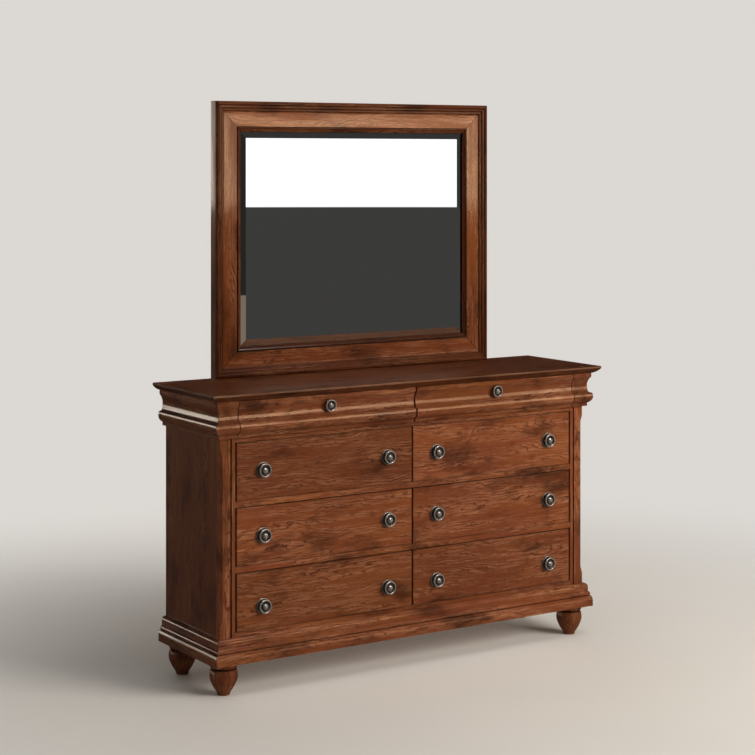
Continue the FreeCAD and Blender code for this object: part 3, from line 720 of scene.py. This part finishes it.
class DRESSER_OT_posts(DresserOperator):
    """Model the two front posts with their groove and stopped chamfer"""

    bl_idname = "dresser.posts"
    bl_label = "Front posts"

    # The left post is painted darker and the right one lighter: painted shade and light, as from a
    # light on the right.
    tones_and_shades = {"left": 0.9, "right": 1.05}

    def execute(self, context):
        groove_out, groove_in, groove_deep = 37.4 * MM, 42.6 * MM, 5 * MM
        nip, chamfer, stop = 0.3 * MM, 9 * MM, 19 * MM
        chamfer_low, chamfer_high = base_high.z + 38 * MM, cornice_low - 36 * MM
        outer = case_half
        for name, side in SIDES.items():
            low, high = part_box("front_post_" + name)
            inner = abs(high.x) if side < 0 else abs(low.x)
            # Heights of the post with the width of its outer corner's chamfer there.
            stations = [(low.z, nip), (chamfer_low, nip), (chamfer_low + stop, chamfer),
                        (chamfer_high - stop, chamfer), (chamfer_high, nip), (high.z, nip)]
            floor = low.y + groove_deep
            section = [(inner, low.y), (outer - groove_in, low.y), (outer - groove_in, floor),
                       (outer - groove_out, floor), (outer - groove_out, low.y),
                       (outer - nip, low.y), (outer, low.y + nip), (outer, high.y),
                       (inner, high.y)]
            whole = bmesh.new()
            part = bmesh.new()
            face = part.faces.new([part.verts.new((side * x, y, low.z)) for x, y in section])
            before = nip
            for (z0, _), (z1, cut) in zip(stations, stations[1:]):
                pushed = bmesh.ops.extrude_face_region(part, geom=[face])["geom"]
                if z0 > low.z:
                    bmesh.ops.delete(part, geom=[face], context="FACES_ONLY")
                face = only(bmesh.types.BMFace, pushed)[0]
                for vert in only(bmesh.types.BMVert, pushed):
                    vert.co.z = z1
                    x, y = abs(vert.co.x), vert.co.y - low.y
                    if abs(x - (outer - before)) < 1e-7 and abs(y) < 1e-7:
                        vert.co.x = side * (outer - cut)
                    elif abs(x - outer) < 1e-7 and abs(y - before) < 1e-7:
                        vert.co.y = low.y + cut
                before = cut
            gather(whole, part)
            wood = stained_wood("post wood " + name, "Z", seed_of("post" + name), hollow=10 * MM,
                                tone_and_shade=self.tones_and_shades[name])
            make_wooden("post_" + name, whole, "front_post_" + name, wood, POST_EDGE)
        return {"FINISHED"}


class DRESSER_OT_rails(DresserOperator):
    """Model the rails between the drawer rows, under the cornice and over the base"""

    bl_idname = "dresser.rails"
    bl_label = "Rails"

    def execute(self, context):
        edge = context.scene.dresser_wood.edge
        for name in ("top_rail", "bottom_rail"):
            low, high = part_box(name)
            whole = bmesh.new()
            add_board(whole, low, high)
            wood = stained_wood(name + " wood", "X", seed_of(name), box=(low, high))
            make_wooden("rail_" + name[:-5], whole, name, wood, edge)
        low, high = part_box("drawer_rails")
        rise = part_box("bottom_rail")[1].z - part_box("bottom_rail")[0].z
        whole = bmesh.new()
        add_board(whole, low, (high.x, high.y, low.z + rise))
        add_board(whole, (low.x, low.y, high.z - rise), high)
        wood = stained_wood("drawer rails wood", "X", 41, hollow=6 * MM)
        make_wooden("rails_between_rows", whole, "drawer_rails", wood, edge)
        return {"FINISHED"}


class DRESSER_OT_sides(DresserOperator):
    """Model the side panels"""

    bl_idname = "dresser.sides"
    bl_label = "Side panels"

    def execute(self, context):
        for name in SIDES:
            low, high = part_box("side_panel_" + name)
            whole = bmesh.new()
            add_board(whole, low, high)
            # The sides are painted darker and redder than the fronts: painted shade on sides that
            # face away from the light.
            wood = stained_wood("side wood " + name, "Z", seed_of("side" + name), box=(low, high),
                                tone_and_shade=0.64, warm=0.25)
            make_wooden("side_" + name, whole, "side_panel_" + name, wood, BROAD_EDGE)
        return {"FINISHED"}


class DRESSER_OT_feet(DresserOperator):
    """Turn the four feet: pad, bulb, neck and collar"""

    bl_idname = "dresser.feet"
    bl_label = "Feet"

    def execute(self, context):
        low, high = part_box("feet")
        inset, pad_radius = 45.0 * MM, 18.6 * MM
        neck = outline(FOOT_NECK + [(FOOT_NECK[-1][1][0], high.z / MM)], 4)
        line = [(0.0, 0.0), (pad_radius, 0.0), *smooth_profile(FOOT_BULB), *neck, (0.0, high.z)]
        whole = bmesh.new()
        for x in (low.x + inset, high.x - inset):
            for y in (low.y + inset, high.y - inset):
                add_turned(whole, line, Vector((x, y, 0.0)), UP, 72)
        wood = stained_wood("feet wood", "Z", 57, hollow=12 * MM, tone_and_shade=0.71, shine=0.3)
        make_wooden("turned_feet", whole, "feet", wood, FINE_EDGE)
        return {"FINISHED"}


class DRESSER_OT_inside(DresserOperator):
    """Finish the hidden case parts: partition, battens, blocks, bottom and back"""

    bl_idname = "dresser.inside"
    bl_label = "Inside of the case"

    grains = {"centre_partition": "Z", "slide_battens": "Z", "corner_blocks": "X",
              "bottom_panel": "X", "back_rail": "X"}

    def execute(self, context):
        for node, grain in self.grains.items():
            dress(node, plain_wood(node + " wood", grain, seed_of(node), "b58d62", "8c6441"))
        dress("back_panel", backing_board("back panel board", 3.0))
        dress("case_slides", zinc_steel("case slides steel", 0.0))
        return {"FINISHED"}


# ------------------------------------------------------------------ drawers

class DRESSER_OT_drawer_fronts(DresserOperator):
    """Model the six plain fronts and the two top fronts that carry the cornice"""

    bl_idname = "dresser.drawer_fronts"
    bl_label = "Drawer fronts"

    tones_and_shades = {"lower_left": 0.77, "lower_right": 0.86, "middle_left": 1.03,
             "middle_right": 0.97, "upper_left": 0.77, "upper_right": 1.12}

    def execute(self, context):
        for row, side in DRAWERS:
            body = f"drawer_{row}_{side}"
            low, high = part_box(body + "_front")
            whole = bmesh.new()
            if row == "top":
                add_front_run(whole, CORNICE_SECTION, cornice_low, low.x, high.x - low.x,
                              [(UP * high.z, UP)], face_y - high.y)
                wood = stained_wood(body + " wood", "X", seed_of(body), hollow=12 * MM, tone_and_shade=0.87)
                edge = BROAD_EDGE
            else:
                add_board(whole, low, high)
                wood = stained_wood(body + " wood", "X", seed_of(body), box=(low, high),
                                    tone_and_shade=self.tones_and_shades[f"{row}_{side}"])
                edge = context.scene.dresser_wood.edge
            make_wooden(body + "_board", whole, body + "_front", wood, edge, body)
        return {"FINISHED"}


class DRESSER_OT_drawer_boxes(DresserOperator):
    """Finish the dovetailed drawer boxes and their slides"""

    bl_idname = "dresser.drawer_boxes"
    bl_label = "Drawer boxes"

    def execute(self, context):
        steel = zinc_steel("drawer slides steel", 2.0)
        for row, side in DRAWERS:
            body = f"drawer_{row}_{side}"
            wood = plain_wood(body + " box wood", "Y", seed_of(body), "d0ae82", "ab8457")
            dress(body + "_box", wood)
            dress(body + "_slides", steel)
        return {"FINISHED"}


class DRESSER_OT_knobs(DresserOperator):
    """Turn the pewter knobs: dished ring, ball and, on the lower drawers, a back plate"""

    bl_idname = "dresser.knobs"
    bl_label = "Knobs"

    def profile(self, ring, ball, plate):
        """Half section as (radius, distance from the seat) in metres, of radii in millimetres."""
        if plate:
            line = [(0.0, 0.0)] + outline([
                (plate, 0.0), (plate, 1.6), ((plate - 0.4, 2.6), (plate - 1.4, 3.0)),
                (plate - 3.4, 3.0), (plate - 3.8, 2.2), (ring - 4.0, 2.2)], 4)
        else:
            line = outline([(0.0, -2.0), (11.0, -2.0), (11.0, 1.2), ((10.4, 2.4), (9.4, 3.0))], 4)
        throat, centre, steps = ball - 0.6, 13.4, 12
        line += outline([
            (ring - 9.5, 4.2), (ring - 10.5, 6.5), ((ring - 8.0, 9.5), (ring - 2.6, 10.6)),
            ((ring - 0.4, 12.3), (ring, 14.6)), ((ring - 0.7, 17.0), (ring - 2.4, 18.0)),
            ((ring - 3.9, 17.6), (ring - 4.6, 16.4)), ((ring - 6.6, 12.6), (ball + 1.6, 11.2)),
            (throat, 11.2)], 6)
        start = -math.acos(min(1.0, throat / ball))
        for i in range(steps + 1):
            angle = start + (math.pi / 2 - start) * i / steps
            line.append((ball * MM * math.cos(angle), (centre + ball * math.sin(angle)) * MM))
        return line[:-1] + [(0.0, line[-1][1])]

    def polish(self, radius, out, ball):
        """How far handling has rubbed the patina off at a point of the profile."""
        on_ball = radius < ball + 0.2 and out > 11.5
        on_rim = out > 17.0
        on_shoulder = out > 15.0 and radius > ball + 8.0
        on_plate = 2.2 < out < 3.1 and radius > 22.6
        return 1.0 if on_ball or on_rim else 0.45 if on_shoulder else 0.8 if on_plate else 0.12

    def execute(self, context):
        look = context.scene.dresser_knobs
        metal = pewter("antique pewter")
        ball = look.ball_radius / MM
        single = self.profile(look.top_ring_radius / MM, ball, 0.0)
        plated = self.profile(look.ring_radius / MM, ball, look.plate_radius / MM)
        for row, side in DRAWERS:
            body = f"drawer_{row}_{side}"
            node = body + ("_knob" if row == "top" else "_knobs")
            low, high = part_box(node)
            middle, radius = (low + high) / 2, (high.z - low.z) / 2
            places = [middle.x] if row == "top" else [low.x + radius, high.x - radius]
            seats = [Vector((x, high.y, middle.z)) for x in places]
            whole = bmesh.new()
            for seat in seats:
                add_turned(whole, single if row == "top" else plated, seat, -NORTH, 56)
            cast = make_piece(node + "_cast", whole, body, metal, [node])
            polish = cast.data.attributes.new("polish", "FLOAT", "POINT")
            for vert, value in zip(cast.data.vertices, polish.data):
                seat = min(seats, key=lambda s: (s - vert.co).length)
                radius = math.hypot(vert.co.x - seat.x, vert.co.z - seat.z) / MM
                value.value = self.polish(radius, (seat.y - vert.co.y) / MM, ball)
        return {"FINISHED"}


# ------------------------------------------------------------------ mirror

class DRESSER_OT_mirror_frame(DresserOperator):
    """Model the four mitred lengths of the mirror frame"""

    bl_idname = "dresser.mirror_frame"
    bl_label = "Mirror frame"

    def execute(self, context):
        low, high = mirror_low, mirror_high
        width, height = high.x - low.x, high.z - low.z
        foot, head, right = (Vector((x, back_y, z)) for x, z in
                             ((low.x, low.z), (low.x, high.z), (high.x, low.z)))
        # Start, direction, inward direction, run, grain, tone and darkness of the inner lip; the
        # tone is painted light and shade, lightest on the top length, and the lip's darkness is
        # painted shade toward the glass.
        lengths = {"bottom": (foot, EAST, UP, width, "X", 0.78, 0.75),
                   "top": (head, EAST, -UP, width, "X", 0.95, 0.45),
                   "left": (foot, UP, EAST, height, "Z", 0.74, 0.45),
                   "right": (right, UP, -EAST, height, "Z", 0.8, 0.75)}
        for name, (start, along, inward, run, grain, tone_and_shade, dark) in lengths.items():
            whole = bmesh.new()
            points = [start + inward * depth - NORTH * rise
                      for depth, rise in outline(FRAME_SECTION, 6)]
            cuts = [(start, (inward - along).normalized()),
                    (start + along * run, (inward + along).normalized())]
            add_run(whole, points, along * run, cuts)
            wood = stained_wood("frame wood " + name, grain, seed_of("frame" + name),
                                hollow=16 * MM, tone_and_shade=tone_and_shade, warm=0.15, mitres=cuts,
                                flat=back_y - 26.8 * MM, lip_shade=(start, inward, 87.4 * MM, dark))
            make_wooden("frame_" + name, whole, "mirror_frame_" + name, wood, FINE_EDGE)
        return {"FINISHED"}


class DRESSER_OT_mirror_glass(DresserOperator):
    """Model the silvered glass with its wide bevel"""

    bl_idname = "dresser.mirror_glass"
    bl_label = "Mirror glass"

    def execute(self, context):
        bevel_drop, bevel_width = 4.1 * MM, 32.0 * MM
        low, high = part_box("mirror_glass")
        rings = []
        for y, inset in ((high.y, 0.0), (low.y + bevel_drop, 0.0), (low.y, bevel_width)):
            left, right = low.x + inset, high.x - inset
            foot, head = low.z + inset, high.z - inset
            rings.append([(left, y, foot), (right, y, foot), (right, y, head), (left, y, head)])
        piece = make_piece("mirror_pane", bridged(rings), "case",
                           silvered_glass("silvered glass"), ["mirror_glass"])
        for face in piece.data.polygons:
            face.use_smooth = False
        return {"FINISHED"}


class DRESSER_OT_mirror_back(DresserOperator):
    """Finish the backing board and the two supports, with the screws that hold them"""

    bl_idname = "dresser.mirror_back"
    bl_label = "Mirror back"

    def execute(self, context):
        dress("mirror_backing", backing_board("mirror backing board", 8.0))
        dress("mirror_supports", stained_wood("support wood", "Z", 71, hollow=10 * MM, tone_and_shade=0.8))
        low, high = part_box("mirror_supports")
        half_width, stagger = 32 * MM, 14 * MM
        # Heights of the screws over the supports' feet, and their way off the middle line.
        screws = [(45 * MM, -stagger), (75 * MM, stagger), (140 * MM, -stagger),
                  (170 * MM, stagger), (300 * MM, 0), (520 * MM, 0), (740 * MM, 0), (910 * MM, 0)]
        whole = bmesh.new()
        for middle in (low.x + half_width, high.x - half_width):
            for height, aside in screws:
                seat = Vector((middle + aside, high.y, low.z + height))
                add_turned(whole, outline(SCREW_HEAD, 5), seat, NORTH, 24)
        steel = zinc_steel("screw steel", 5.0)
        make_piece("support_screws", whole, "case", steel, [])
        return {"FINISHED"}


# ------------------------------------------------------------------ stage

WARM_WHITE, LAMP_GLOW, DAY_GLOW = (1.0, 0.95, 0.92), (1.0, 0.64, 0.38), (1.0, 0.87, 0.72)


class DRESSER_OT_stage(DresserOperator):
    """Set up the floor, the surroundings, the lamps and the camera"""

    bl_idname = "dresser.stage"
    bl_label = "Stage"

    def floor(self, look):
        """Pale floor that fades into the backdrop, and is dark in reflections."""
        whole = bmesh.new()
        bmesh.ops.create_circle(whole, cap_ends=True, cap_tris=False, segments=96, radius=3.6)
        mesh = bpy.data.meshes.new("floor")
        whole.to_mesh(mesh)
        whole.free()
        plane = bpy.data.objects.new("floor", mesh)
        bpy.context.scene.collection.objects.link(plane)
        finish = Finish("pale floor", look.floor)
        mottle = finish.noise(finish.place, scale=1.6, detail=4.0)
        finish.paint(mottle, 0.3, 0.7, (0.55, 0.5, 0.45), 0.06)
        mesh.materials.append(finish.surface(Roughness=0.7, Specular_IOR_Level=0.2))
        paths = finish.add("ShaderNodeLightPath").outputs
        spread = finish.vector("LENGTH", finish.place).outputs["Value"]
        fade = finish.times(finish.span(spread, 0.7, 3.3), paths["Is Camera Ray"])
        seen = finish.blend(fade, finish.shader.outputs[0],
                            finish.light("ShaderNodeEmission", look.backdrop))
        dark = finish.light("ShaderNodeEmission", shade("2b2725"))
        finish.feed(finish.tree.nodes["Material Output"].inputs["Surface"],
                    finish.blend(paths["Is Glossy Ray"], seen, dark))

    def surroundings(self, look):
        """Pale backdrop for the camera, even light, and a room's lights for reflections.

        Glossy reflections see a bright band at eye level ahead and on the left, a high window
        and a dark floor. The mirror sees a plainer room: a white band over a dark wall, and a
        doorway at its left.
        """
        world = bpy.data.worlds.new("studio")
        bpy.context.scene.world = world
        world.use_nodes = True
        world.cycles.sampling_method = "NONE"
        world.node_tree.nodes.clear()
        studio = Nodes(world.node_tree)
        span, times, blend = studio.span, studio.times, studio.blend

        def glow(tint, strength=1.0):
            return studio.light("ShaderNodeBackground", tint, strength)

        def over_line(z, degrees):
            """1 over an elevation, 0 under it."""
            level, soft = math.sin(math.radians(degrees)), 0.0004
            return span(z, level - soft, level + soft)

        way = studio.add("ShaderNodeTexCoord").outputs["Generated"]
        x, y, z = studio.axes(way)
        across = studio.vector("DOT_PRODUCT", way, (0.845, 0.534, 0.0)).outputs["Value"]
        over = over_line(z, -1.54)
        band = times(over, span(z, 0.125, 0.095))
        ahead = times(span(y, -0.15, -0.45),
                      span(studio.math("ABSOLUTE", across), 0.15, 0.135))
        near = times(span(x, -0.4, -0.2), span(y, -0.1, -0.25))
        left = times(span(x, -0.15, -0.4), span(y, 0.1, 0.4))
        low, high = math.sin(math.radians(58.0)), math.sin(math.radians(80.0))
        pane = times(span(z, low - 0.012, low + 0.012), span(z, high + 0.03, high - 0.01))

        under = blend(left, glow(shade("2b2725")), glow(shade("1c1714")))
        lit = blend(over, under, glow(WARM_WHITE, look.above))
        lit = blend(times(near, pane), lit, glow(WARM_WHITE, look.window))
        lit = blend(times(band, ahead), lit, glow(LAMP_GLOW, look.band * 1.7))
        lit = blend(times(band, left), lit, glow(DAY_GLOW, look.band * 1.4))

        sharp = blend(over, glow(shade("3e3d3c")), glow(WARM_WHITE, look.above))
        sharp = blend(times(band, ahead), sharp, glow((1.0, 1.0, 1.0), 1.2))
        doorway = blend(over_line(z, -4.23), glow(shade("7b6d5f")), glow(shade("262524")))
        sharp = blend(span(across, -0.19, -0.2), sharp, doorway)

        paths = studio.add("ShaderNodeLightPath").outputs
        lit = blend(paths["Is Singular Ray"], lit, sharp)
        rays = blend(paths["Is Glossy Ray"], glow((1.0, 0.99, 0.97), look.fill), lit)
        rays = blend(paths["Is Camera Ray"], rays, glow(look.backdrop))
        studio.add("ShaderNodeOutputWorld", rays)

    def lamp(self, name, place, aim, size, power, tint=(1.0, 1.0, 1.0)):
        data = bpy.data.lights.new(name, "AREA")
        data.shape = "RECTANGLE"
        data.size, data.size_y = size
        data.energy = power
        data.color = tint
        lamp = bpy.data.objects.new(name, data)
        lamp.location = place
        lamp.rotation_euler = (Vector(aim) - Vector(place)).to_track_quat("-Z", "Y").to_euler()
        lamp.visible_glossy = False
        lamp.visible_camera = False
        bpy.context.scene.collection.objects.link(lamp)

    def execute(self, context):
        scene = context.scene
        look = scene.dresser_stage
        power = look.key_power
        self.floor(look)
        self.surroundings(look)
        self.lamp("key", (3.0, -4.8, 2.7), (0.0, 0.0, 0.8), (3.2, 2.2), power, (1.0, 0.97, 0.93))
        self.lamp("top", (0.5, -1.4, 4.6), (0.0, -0.6, 0.0), (2.6, 2.6), power * 0.12)
        self.lamp("back", (1.2, 4.5, 1.0), (0.0, 0.0, 0.9), (3.0, 1.6), power * 0.24)
        camera = bpy.data.cameras.new("camera")
        camera.lens = look.lens
        camera.sensor_width = 36.0
        camera.shift_y = look.rise
        stand = bpy.data.objects.new("camera", camera)
        stand.location = look.camera_place
        stand.rotation_euler = (math.pi / 2, 0.0, look.camera_turn)
        scene.collection.objects.link(stand)
        bpy.context.scene.camera = stand
        bpy.context.scene.view_settings.view_transform = "Standard"
        return {"FINISHED"}


# ------------------------------------------------------------------ panel and registration

STEPS = (DRESSER_OT_top_slab, DRESSER_OT_cornice, DRESSER_OT_base, DRESSER_OT_posts,
         DRESSER_OT_rails, DRESSER_OT_sides, DRESSER_OT_feet, DRESSER_OT_inside,
         DRESSER_OT_drawer_fronts, DRESSER_OT_drawer_boxes, DRESSER_OT_knobs,
         DRESSER_OT_mirror_frame, DRESSER_OT_mirror_glass, DRESSER_OT_mirror_back,
         DRESSER_OT_stage)
GROUPS = {"dresser_wood": WoodSettings, "dresser_knobs": KnobSettings,
          "dresser_mirror": MirrorSettings, "dresser_stage": StageSettings}


class VIEW3D_PT_dresser(bpy.types.Panel):
    """Settings and building steps of the dresser"""

    bl_label = "Dresser with Mirror"
    bl_space_type = "VIEW_3D"
    bl_region_type = "UI"
    bl_category = "Dresser"

    def draw(self, context):
        for name, group in GROUPS.items():
            box = self.layout.box()
            box.label(text=group.__doc__)
            for key in group.__annotations__:
                box.prop(getattr(context.scene, name), key)
        for step in STEPS:
            self.layout.operator(step.bl_idname)


def register():
    for name, group in GROUPS.items():
        bpy.utils.register_class(group)
        setattr(bpy.types.Scene, name, bpy.props.PointerProperty(type=group))
    for step in STEPS:
        bpy.utils.register_class(step)
    bpy.utils.register_class(VIEW3D_PT_dresser)


def unregister():
    bpy.utils.unregister_class(VIEW3D_PT_dresser)
    for step in reversed(STEPS):
        bpy.utils.unregister_class(step)
    for name, group in GROUPS.items():
        delattr(bpy.types.Scene, name)
        bpy.utils.unregister_class(group)


def main():
    register()
    for step in STEPS:
        group, action = step.bl_idname.split(".")
        getattr(getattr(bpy.ops, group), action)()


if __name__ == "__main__":
    main()
